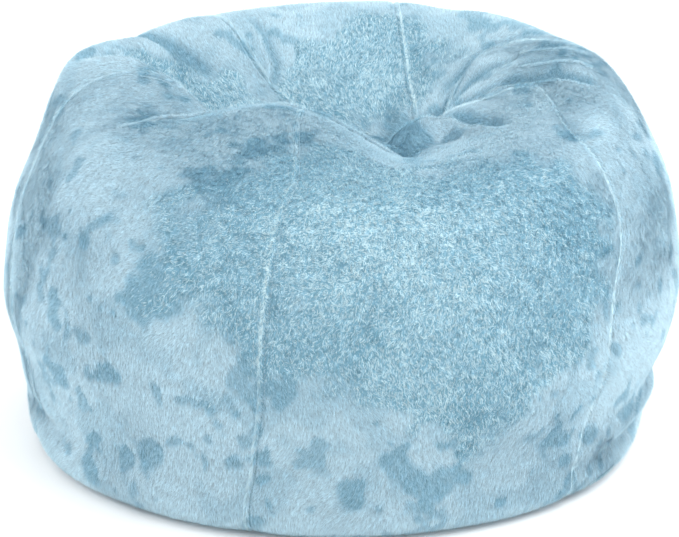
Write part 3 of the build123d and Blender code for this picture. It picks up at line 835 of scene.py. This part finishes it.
def tubes(paths, radius, sides):
    # a round tube on each path: rings square to the path, shrunk to a point at both ends; the fixed direction
    # is one that no path follows
    tangent = unit(np.gradient(paths, axis=1))
    side = unit(np.cross(tangent, np.array([0.13, 0.21, 0.97])))
    up = np.cross(side, tangent)
    angle = np.arange(sides) * 2 * math.pi / sides
    ring = np.cos(angle)[:, None] * side[:, :, None] + np.sin(angle)[:, None] * up[:, :, None]
    points = paths[:, :, None] + radius * ring
    ends = [paths[:, :1, None].repeat(sides, axis=2), paths[:, -1:, None].repeat(sides, axis=2)]
    points = np.concatenate([ends[0], points, ends[1]], axis=1)
    ringCount = points.shape[1]
    quads = gridFaces(ringCount, sides, closed=True)
    quads = (quads[None] + (np.arange(len(paths)) * ringCount * sides)[:, None, None]).reshape(-1, 4)
    return points.reshape(-1, 3), quads


def lineOnCover(number, offset):
    # the line that stays at one distance from a seam, read from the gore's grid row by row
    columns = goreColumns(number)
    near = len(cover["after"])
    distance = seamDistance[:, columns[:near]]
    upper = np.clip((distance < offset).sum(axis=1), 1, near - 1)
    index = np.arange(len(distance))
    low, high = distance[index, upper - 1], distance[index, upper]
    share = np.clip((offset - low) / np.maximum(high - low, 1e-9), 0, 1)[:, None]
    spots, ways = coverPoints[:, columns], coverNormals[:, columns]
    return (spots[index, upper - 1] * (1 - share) + spots[index, upper] * share,
            ways[index, upper - 1] * (1 - share) + ways[index, upper] * share)


def threadMaterial():
    material, tree = newMaterial("thread")
    twist = waveTexture(tree, objectPlace(tree), "DIAGONAL", thread["twists"], Distortion=1.5)
    colour = mixColour(tree, twist, thread["dark"], thread["pale"])
    finishMaterial(tree, colour, twist, 0.5, 0.0002, Roughness=0.5, Sheen_Weight=0.2)
    return material


threadFinish = threadMaterial()
for number in range(cover["seams"]):
    line, way = lineOnCover(number, seam["band"])
    line, way = line[thread["firstRow"]:], way[thread["firstRow"]:]
    along = np.r_[0, np.cumsum(np.linalg.norm(np.diff(line, axis=0), axis=1))]
    last = along[-1] * thread["lastShare"] - thread["stitch"]
    starts = np.arange(0, last, thread["stitch"] + thread["gap"])
    share = np.linspace(0, 1, thread["steps"])
    where = starts[:, None] + thread["stitch"] * share
    spot = np.stack([np.interp(where, along, line[:, axis]) for axis in range(3)], -1)
    out = np.stack([np.interp(where, along, way[:, axis]) for axis in range(3)], -1)
    spot = spot + out * (thread["rise"] * np.sin(math.pi * share)[:, None] - thread["sink"])
    spots, quads = tubes(spot, thread["radius"], thread["sides"])
    stitches = meshFrom(f"seamThread.{number + 1}", spots, quads)
    weld(stitches)
    settle(stitches, [f"cover_topstitch_{number + 1}"], "bag", threadFinish)
print("seam threads made")


# base: two half rounds of the same plush, pressed flat, with the zip's slot between them
base = dict(rows=26, columns=150, pucker=0.0007, puckers=46, puckerReach=0.014, lift=0.0012, liftCell=0.05,
            liftReach=0.03, height=0.0012, fibres=24000, seamAway=0.003, placeSpan=0.96,
            slotEase=0.004, slotMargin=0.003, slotExtra=0.012)


def halfRound(radius, layer, side, height):
    # straight lines from the zip's edge out to the rim, an arc that starts and ends at the zip's line
    slider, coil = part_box(f"{layer}_zip_slider"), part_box(f"{layer}_zip_coil_front")
    zipY = (slider[0].y + slider[1].y) / 2
    slotHalf = (slider[1].y - slider[0].y) / 2 + base["slotMargin"]
    slotLength = coil[1].x - coil[0].x + base["slotExtra"]
    first = math.asin(zipY / radius)
    last = math.pi - first if side > 0 else -math.pi - first
    angle = np.linspace(first, last, base["columns"])
    rim = np.stack([radius * np.cos(angle), radius * np.sin(angle)], -1)
    edgeX = radius * math.cos(first) * np.linspace(1, -1, base["columns"])
    slot = slotHalf * softStep((slotLength / 2 - np.abs(edgeX)) / base["slotEase"] + 0.5)
    edge = np.stack([edgeX, zipY + side * slot], -1)
    share = np.linspace(0, 1, base["rows"])[:, None, None]
    plan = edge * (1 - share) + rim * share
    fromRim = radius - np.hypot(plan[..., 0], plan[..., 1])
    ripple = base["pucker"] * (1 + np.sin(base["puckers"] * np.arctan2(plan[..., 1], plan[..., 0])))
    ripple = ripple * np.exp(-fromRim / base["puckerReach"])
    spots = np.concatenate([plan, np.zeros(plan.shape[:2] + (1,))], -1)
    lift = base["lift"] * softNoise(spots, base["liftCell"], 41) * softStep(fromRim / base["liftReach"])
    spots[..., 2] = height + ripple + lift
    return spots if side > 0 else spots[:, ::-1]


for place, side in (("front", -1), ("rear", 1)):
    spots = halfRound(cover["baseRadius"], "cover", side, base["height"])[::-1]
    square = spots[..., :2] / (2 * cover["baseRadius"]) * base["placeSpan"] + 0.5
    half = plushPatch(f"coverBase.{place}", spots, gridNormals(spots, closed=False), square, base["fibres"],
                      np.full(spots.shape[:2], base["seamAway"]), rng)
    settle(half, [f"cover_base_{place}"], "bag", plush)
print("cover base made")


# zips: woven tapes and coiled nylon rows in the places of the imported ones; metal parts keep their own shape
zips = dict(
    pitch=0.0016, wire=0.00036, turnSteps=9, wireSides=5, coilLean=0.12,
    tapeRows=120, tapeSides=28, tapeWave=0.00012, tapeWaves=90, tapePowers=(0.25, 0.6),
    tapeDark=tone(0.20, 0.36, 0.46), tapePale=tone(0.40, 0.60, 0.70),
    coilDark=tone(0.42, 0.62, 0.72), coilPale=tone(0.55, 0.74, 0.83),
    metalDark=tone(0.52, 0.53, 0.55), metalPale=tone(0.72, 0.73, 0.75), metalRough=(0.22, 0.42),
)


def zipTape(name, node):
    # a flat rounded section carried along the zip, with its ends closed
    low, high = (np.array(corner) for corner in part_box(node))
    middle, half = (low + high) / 2, (high - low) / 2
    angle = np.linspace(0, 2 * math.pi, zips["tapeSides"], endpoint=False)
    circle = np.stack([np.cos(angle), np.sin(angle)], -1)
    section = np.sign(circle) * np.abs(circle) ** zips["tapePowers"]
    x = np.linspace(low[0], high[0], zips["tapeRows"])
    wave = zips["tapeWave"] * np.sin(x * zips["tapeWaves"])[:, None, None]
    spots = np.zeros((len(x) + 2, len(angle), 3))
    spots[1:-1, :, 0] = x[:, None]
    spots[0, :, 0], spots[-1, :, 0] = x[0], x[-1]
    spots[..., 1:] = middle[1:]
    spots[1:-1, :, 1:] += section * (half[1:] - (0, zips["tapeWave"])) + np.array([0, 1]) * wave
    return gridPiece(name, spots, closed=True)


def zipCoil(name, node, side):
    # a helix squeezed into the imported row's section: turns along X, a flat loop in Y and Z
    low, high = (np.array(corner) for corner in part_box(node))
    turns = int((high[0] - low[0]) / zips["pitch"]) - 1
    step = np.arange(turns * zips["turnSteps"] + 1) / zips["turnSteps"]
    angle = 2 * math.pi * step
    middle, half = (low + high) / 2, (high - low) / 2 - zips["wire"]
    line = np.stack([low[0] + zips["wire"] * 2 + zips["pitch"] * (step + zips["coilLean"] * np.sin(angle)),
                     middle[1] + side * half[1] * np.cos(angle), middle[2] + half[2] * np.sin(angle)], -1)
    spots, quads = tubes(line[None], zips["wire"], zips["wireSides"])
    coil = meshFrom(name, spots, quads)
    weld(coil)
    return coil


def tapeMaterial():
    material, tree = newMaterial("zipTape")
    where = objectPlace(tree)
    warp = waveTexture(tree, where, "Y", 420.0, Distortion=0.6, Detail=1.0)
    weft = waveTexture(tree, where, "X", 300.0, Distortion=0.6, Detail=1.0)
    weave = multiply(tree, warp, weft)
    colour = mixColour(tree, weave, zips["tapeDark"], zips["tapePale"])
    finishMaterial(tree, colour, weave, 0.6, 0.0002, Roughness=0.8, Sheen_Weight=0.1)
    return material


def coilMaterial():
    material, tree = newMaterial("zipCoil")
    cloud = noiseTexture(tree, objectPlace(tree), 900.0)
    colour = mixColour(tree, cloud, zips["coilDark"], zips["coilPale"])
    finishMaterial(tree, colour, cloud, 0.1, 0.0001, Roughness=0.35)
    return material


def metalMaterial():
    material, tree = newMaterial("zipMetal")
    where = objectPlace(tree)
    grain = addNode(tree, "Mapping", Vector=where, Scale=(300, 2600, 2600)).outputs[0]
    scratch = noiseTexture(tree, grain, 1.0, 3.0)
    wear = noiseTexture(tree, where, 260.0)
    colour = mixColour(tree, wear, zips["metalDark"], zips["metalPale"])
    rough = mapRange(tree, scratch, 0.0, 1.0, *zips["metalRough"])
    finishMaterial(tree, colour, scratch, 0.15, 0.0001, Metallic=1.0, Roughness=rough)
    return material


tapeFinish, coilFinish, metalFinish = tapeMaterial(), coilMaterial(), metalMaterial()
for layer in ("cover", "liner"):
    for place, side in (("front", -1), ("rear", 1)):
        node = f"{layer}_zip_tape_{place}"
        settle(zipTape(f"{layer}ZipTape.{place}", node), [node], "bag", tapeFinish)
        node = f"{layer}_zip_coil_{place}"
        settle(zipCoil(f"{layer}ZipCoil.{place}", node, side), [node], "bag", coilFinish)
    for part in ("bottom_stop", "top_stops", "slider", "slider_crown"):
        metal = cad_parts[f"{layer}_zip_{part}"]
        metal.data.materials.clear()
        metal.data.materials.append(metalFinish)
print("zips made")


# liner: three panels, a round cap and a base of thin white cloth, and the filling inside it
liner = dict(
    panels=3, perGore=20, rowStep=3, passes=40, rowPass=0.25, sidePass=0.15, wall=0.0012, capRows=7,
    capDish=0.004, clearance=0.0005, topShare=0.9, reach=0.008,
    dark=tone(0.62, 0.64, 0.65), pale=tone(0.84, 0.85, 0.86), cloudy=tone(0.76, 0.77, 0.78),
)
# filling: the gap tone is painted shade between the beads, dull and bright are the beads' own white
beads = dict(
    bottomRows=14, bottomShare=0.99, topRows=8, dish=0.002, cells=250.0,
    gap=tone(0.48, 0.49, 0.50), dull=tone(0.80, 0.80, 0.79), bright=tone(0.92, 0.92, 0.91),
)


def insetShell(depth):
    # the plain cover on every third row, smoothed, moved in along its normals, kept under the top's hollows
    # and stood on a flat floor that is as high as the shell is deep
    at = cover["firstSeam"] + goreTurn * np.arange(cover["seams"] * liner["perGore"]) / liner["perGore"]
    shell = smoothBrow(coverSurface(at, rows))[::liner["rowStep"]]
    outer = shell.copy()
    # on the sides the plain cover is no ceiling
    outer[:int(cover["sideRows"] * liner["topShare"]) // liner["rowStep"], :, 2] = 1
    for _ in range(liner["passes"]):
        shell[1:-1] += liner["rowPass"] * (shell[:-2] + shell[2:] - 2 * shell[1:-1])
        shell += liner["sidePass"] * (np.roll(shell, 1, 1) + np.roll(shell, -1, 1) - 2 * shell)
    shell -= gridNormals(shell) * depth
    shell[..., 2] = np.clip(shell[..., 2], depth, np.maximum(outer[..., 2] - depth, depth))
    # over the top it also stays under the deepest hollow within reach
    brow = cover["sideRows"] // liner["rowStep"] + 2
    x, y = shell[brow:, :, 0], shell[brow:, :, 1]
    shifts = [(liner["reach"] * (i - 1), liner["reach"] * (j - 1)) for i, j in np.ndindex(3, 3)]
    pressed = np.max([pressedDepth(x + i, y + j) for i, j in shifts], axis=0)
    ceiling = topHeight(x, y) - np.maximum(pressed, 0) - depth - seam["pull"]
    shell[brow:, :, 2] = np.minimum(shell[brow:, :, 2], ceiling)
    angle = np.radians(at)
    rim = cover["baseRadius"] - liner["clearance"]
    shell[0] = np.stack([rim * np.cos(angle), rim * np.sin(angle), np.full(len(at), depth)], -1)
    return shell


def linerMaterial():
    material, tree = newMaterial("linerCloth")
    where = objectPlace(tree)
    bonds = addNode(tree, "TexVoronoi", dict(feature="DISTANCE_TO_EDGE"), Vector=where, Scale=420.0)
    fibre = noiseTexture(tree, where, 260.0, 4.0, Roughness=0.7)
    cloud = noiseTexture(tree, where, 9.0)
    colour = mixColour(tree, fibre, liner["dark"], liner["pale"])
    colour = mixColour(tree, cloud, colour, liner["cloudy"])
    finishMaterial(tree, colour, bonds.outputs["Distance"], 0.5, 0.0004, Roughness=0.75, Sheen_Weight=0.1)
    return material


def beadMaterial():
    material, tree = newMaterial("beads")
    cells = addNode(tree, "TexVoronoi", Vector=objectPlace(tree), Scale=beads["cells"])
    # painted shade: each bead is white in its middle and greys toward its edge and the gap between beads; the
    # same map also bumps the surface
    hollow = mapRange(tree, cells.outputs["Distance"], 0.15, 0.75, 1.0, 0.0)
    bead = addNode(tree, "SeparateColor", Color=cells.outputs["Color"])
    white = mixColour(tree, bead.outputs[0], beads["dull"], beads["bright"])
    colour = mixColour(tree, hollow, beads["gap"], white)
    finishMaterial(tree, colour, hollow, 0.9, 0.0015, Roughness=0.55, Subsurface_Weight=0.1)
    return material


linerFinish, beadFinish = linerMaterial(), beadMaterial()
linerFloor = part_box("liner_base_front")[0].z
linerShell = insetShell(linerFloor)
perPanel = cover["seams"] * liner["perGore"] // liner["panels"]
for number in range(liner["panels"]):
    columns = np.arange(number * perPanel, (number + 1) * perPanel + 1) % linerShell.shape[1]
    spots = linerShell[:, columns]
    panel = gridPiece(f"linerPanel.{number + 1}", spots)
    thicken(panel, liner["wall"])
    settle(panel, [f"liner_panel_{number + 1}"], "bag", linerFinish)
spots = towardsMiddle(linerShell[-1], liner["capRows"], liner["capDish"])
linerCap = gridPiece("linerCap", spots, closed=True)
thicken(linerCap, liner["wall"])
settle(linerCap, ["liner_top_cap"], "bag", linerFinish)
for place, side in (("front", -1), ("rear", 1)):
    spots = halfRound(cover["baseRadius"] - liner["clearance"], "liner", side, linerFloor)[::-1]
    half = gridPiece(f"linerBase.{place}", spots)
    thicken(half, liner["wall"])
    settle(half, [f"liner_base_{place}"], "bag", linerFinish)

fillShell = insetShell(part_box("bead_fill")[0].z)
bottomRing = fillShell[0] * (beads["bottomShare"], beads["bottomShare"], 1)
bottom = towardsMiddle(bottomRing, beads["bottomRows"], 0.0)[::-1]
top = towardsMiddle(fillShell[-1], beads["topRows"], beads["dish"])[1:]
spots = np.concatenate([bottom, fillShell[1:], top])
filling = gridPiece("beadFill", spots, closed=True)
settle(filling, ["bead_fill"], "bag", beadFinish)
print("liner and filling made")


# care label: a blank satin strip caught in the seam at the back, lying on the pile with its free edge lifted
label = dict(
    seamNumber=3, start=0.0012, leastWidth=0.038, rows=26, columns=34, nearColumns=24,
    offset=0.0012, rest=0.0062, restReach=0.25, lift=0.004, ripple=0.0009, rippleUp=7, rippleAcross=4,
    wall=0.0005,
    dark=tone(0.74, 0.75, 0.76), pale=tone(0.88, 0.88, 0.88), weave=0.25,
)


def labelMaterial():
    material, tree = newMaterial("labelCloth")
    place = addNode(tree, "UVMap", dict(uv_map="OFBake")).outputs[0]
    warp = waveTexture(tree, place, "X", 26.0)
    weft = waveTexture(tree, place, "Y", 38.0)
    weave = multiply(tree, warp, weft)
    cloud = noiseTexture(tree, place, 6.0)
    colour = mixColour(tree, cloud, label["dark"], label["pale"])
    colour = mixColour(tree, label["weave"], colour, mapRange(tree, weave, 0.0, 1.0, 0.7, 1.0), "MULTIPLY")
    finishMaterial(tree, colour, weave, 0.3, 0.0001, Roughness=0.38, Sheen_Weight=0.15)
    return material


def careLabel():
    # read from the cover's grid between two heights and out from the seam, then lifted off the pile
    low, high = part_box("care_label")
    columns = goreColumns(label["seamNumber"])
    spots, ways, away = coverPoints[:, columns], coverNormals[:, columns], seamDistance[:, columns]
    level = np.linspace(low.z, high.z, label["rows"])
    width = max(high.x - low.x, label["leastWidth"])
    out = np.linspace(label["start"], label["start"] + width, label["columns"])
    sideRows = spots[:cover["sideRows"]]
    rowAt = np.interp(level, sideRows[:, 0, 2], np.arange(len(sideRows)))
    below = np.floor(rowAt).astype(int)
    share = (rowAt - below)[:, None, None]
    rowSpots = spots[below] * (1 - share) + spots[below + 1] * share
    rowWays = ways[below] * (1 - share) + ways[below + 1] * share
    ring = away[below[0], :label["nearColumns"]]
    columnAt = np.interp(out, ring, np.arange(len(ring)))
    left = np.floor(columnAt).astype(int)
    part = (columnAt - left)[None, :, None]
    spot = rowSpots[:, left] * (1 - part) + rowSpots[:, left + 1] * part
    way = rowWays[:, left] * (1 - part) + rowWays[:, left + 1] * part
    across = np.linspace(0, 1, label["columns"])
    up = np.linspace(0, 1, label["rows"])[:, None]
    raised = label["rest"] * softStep(across / label["restReach"]) + label["lift"] * across**3
    raised = raised + label["ripple"] * np.sin(label["rippleUp"] * up + label["rippleAcross"] * across)
    spot = spot + way * (label["offset"] + raised[..., None])
    places = np.stack(np.broadcast_arrays(across, up), -1)
    strip = gridPiece("careLabel", spot, places=places.reshape(-1, 2))
    thicken(strip, label["wall"])
    return strip


settle(careLabel(), ["care_label"], "bag", labelMaterial())
print("care label made")


# stage: the camera looks level along +Y but for its tilt; lens in millimetres on a sensor of the usual width
camera = dict(elevation=18.0, distance=3.68, target=0.27, sensor=36, lens=136.1001, shiftX=0.000736,
              shiftY=-0.037555)
# each light: place, size and power
lights = dict(key=((1.3, -1.5, 3.0), 1.8, 38), fill=((2.5, -0.5, 1.7), 1.6, 26),
              glow=((-2.5, -0.5, 1.7), 1.6, 22))
studio = dict(world=1.32, aim=(0, 0, 0.25), floorHalf=8, floorTone=tone(0.92, 0.92, 0.92))

lens = bpy.data.cameras.new("camera")
lens.sensor_fit = "HORIZONTAL"
lens.sensor_width = camera["sensor"]
lens.lens = camera["lens"]
lens.shift_x = camera["shiftX"]
lens.shift_y = camera["shiftY"]
eye = bpy.data.objects.new("camera", lens)
tilt = math.radians(camera["elevation"])
reach = camera["distance"]
eye.location = (0, -reach * math.cos(tilt), camera["target"] + reach * math.sin(tilt))
eye.rotation_euler = (math.pi / 2 - tilt, 0, 0)
bpy.context.scene.collection.objects.link(eye)
bpy.context.scene.camera = eye

for name, (place, size, power) in lights.items():
    panel = bpy.data.lights.new(name, "AREA")
    panel.size = size
    panel.energy = power
    lamp = bpy.data.objects.new(name, panel)
    lamp.location = place
    lamp.rotation_euler = (Vector(studio["aim"]) - Vector(place)).to_track_quat("-Z", "Y").to_euler()
    bpy.context.scene.collection.objects.link(lamp)

world = bpy.data.worlds.new("studio")
bpy.context.scene.world = world
world.use_nodes = True
world.node_tree.nodes["Background"].inputs["Color"].default_value = (1, 1, 1, 1)
world.node_tree.nodes["Background"].inputs["Strength"].default_value = studio["world"]
bpy.context.scene.view_settings.view_transform = "Standard"

floorMaterial, floorTree = newMaterial("floor")
finishMaterial(floorTree, studio["floorTone"], Roughness=0.9)
floorLine = np.linspace(-studio["floorHalf"], studio["floorHalf"], 3)
across, along = np.meshgrid(floorLine, floorLine, indexing="ij")
floor = meshFrom("floor", np.stack([across, along, 0 * across], -1).reshape(-1, 3), gridFaces(3, 3)[:, ::-1])
floor.data.materials.append(floorMaterial)
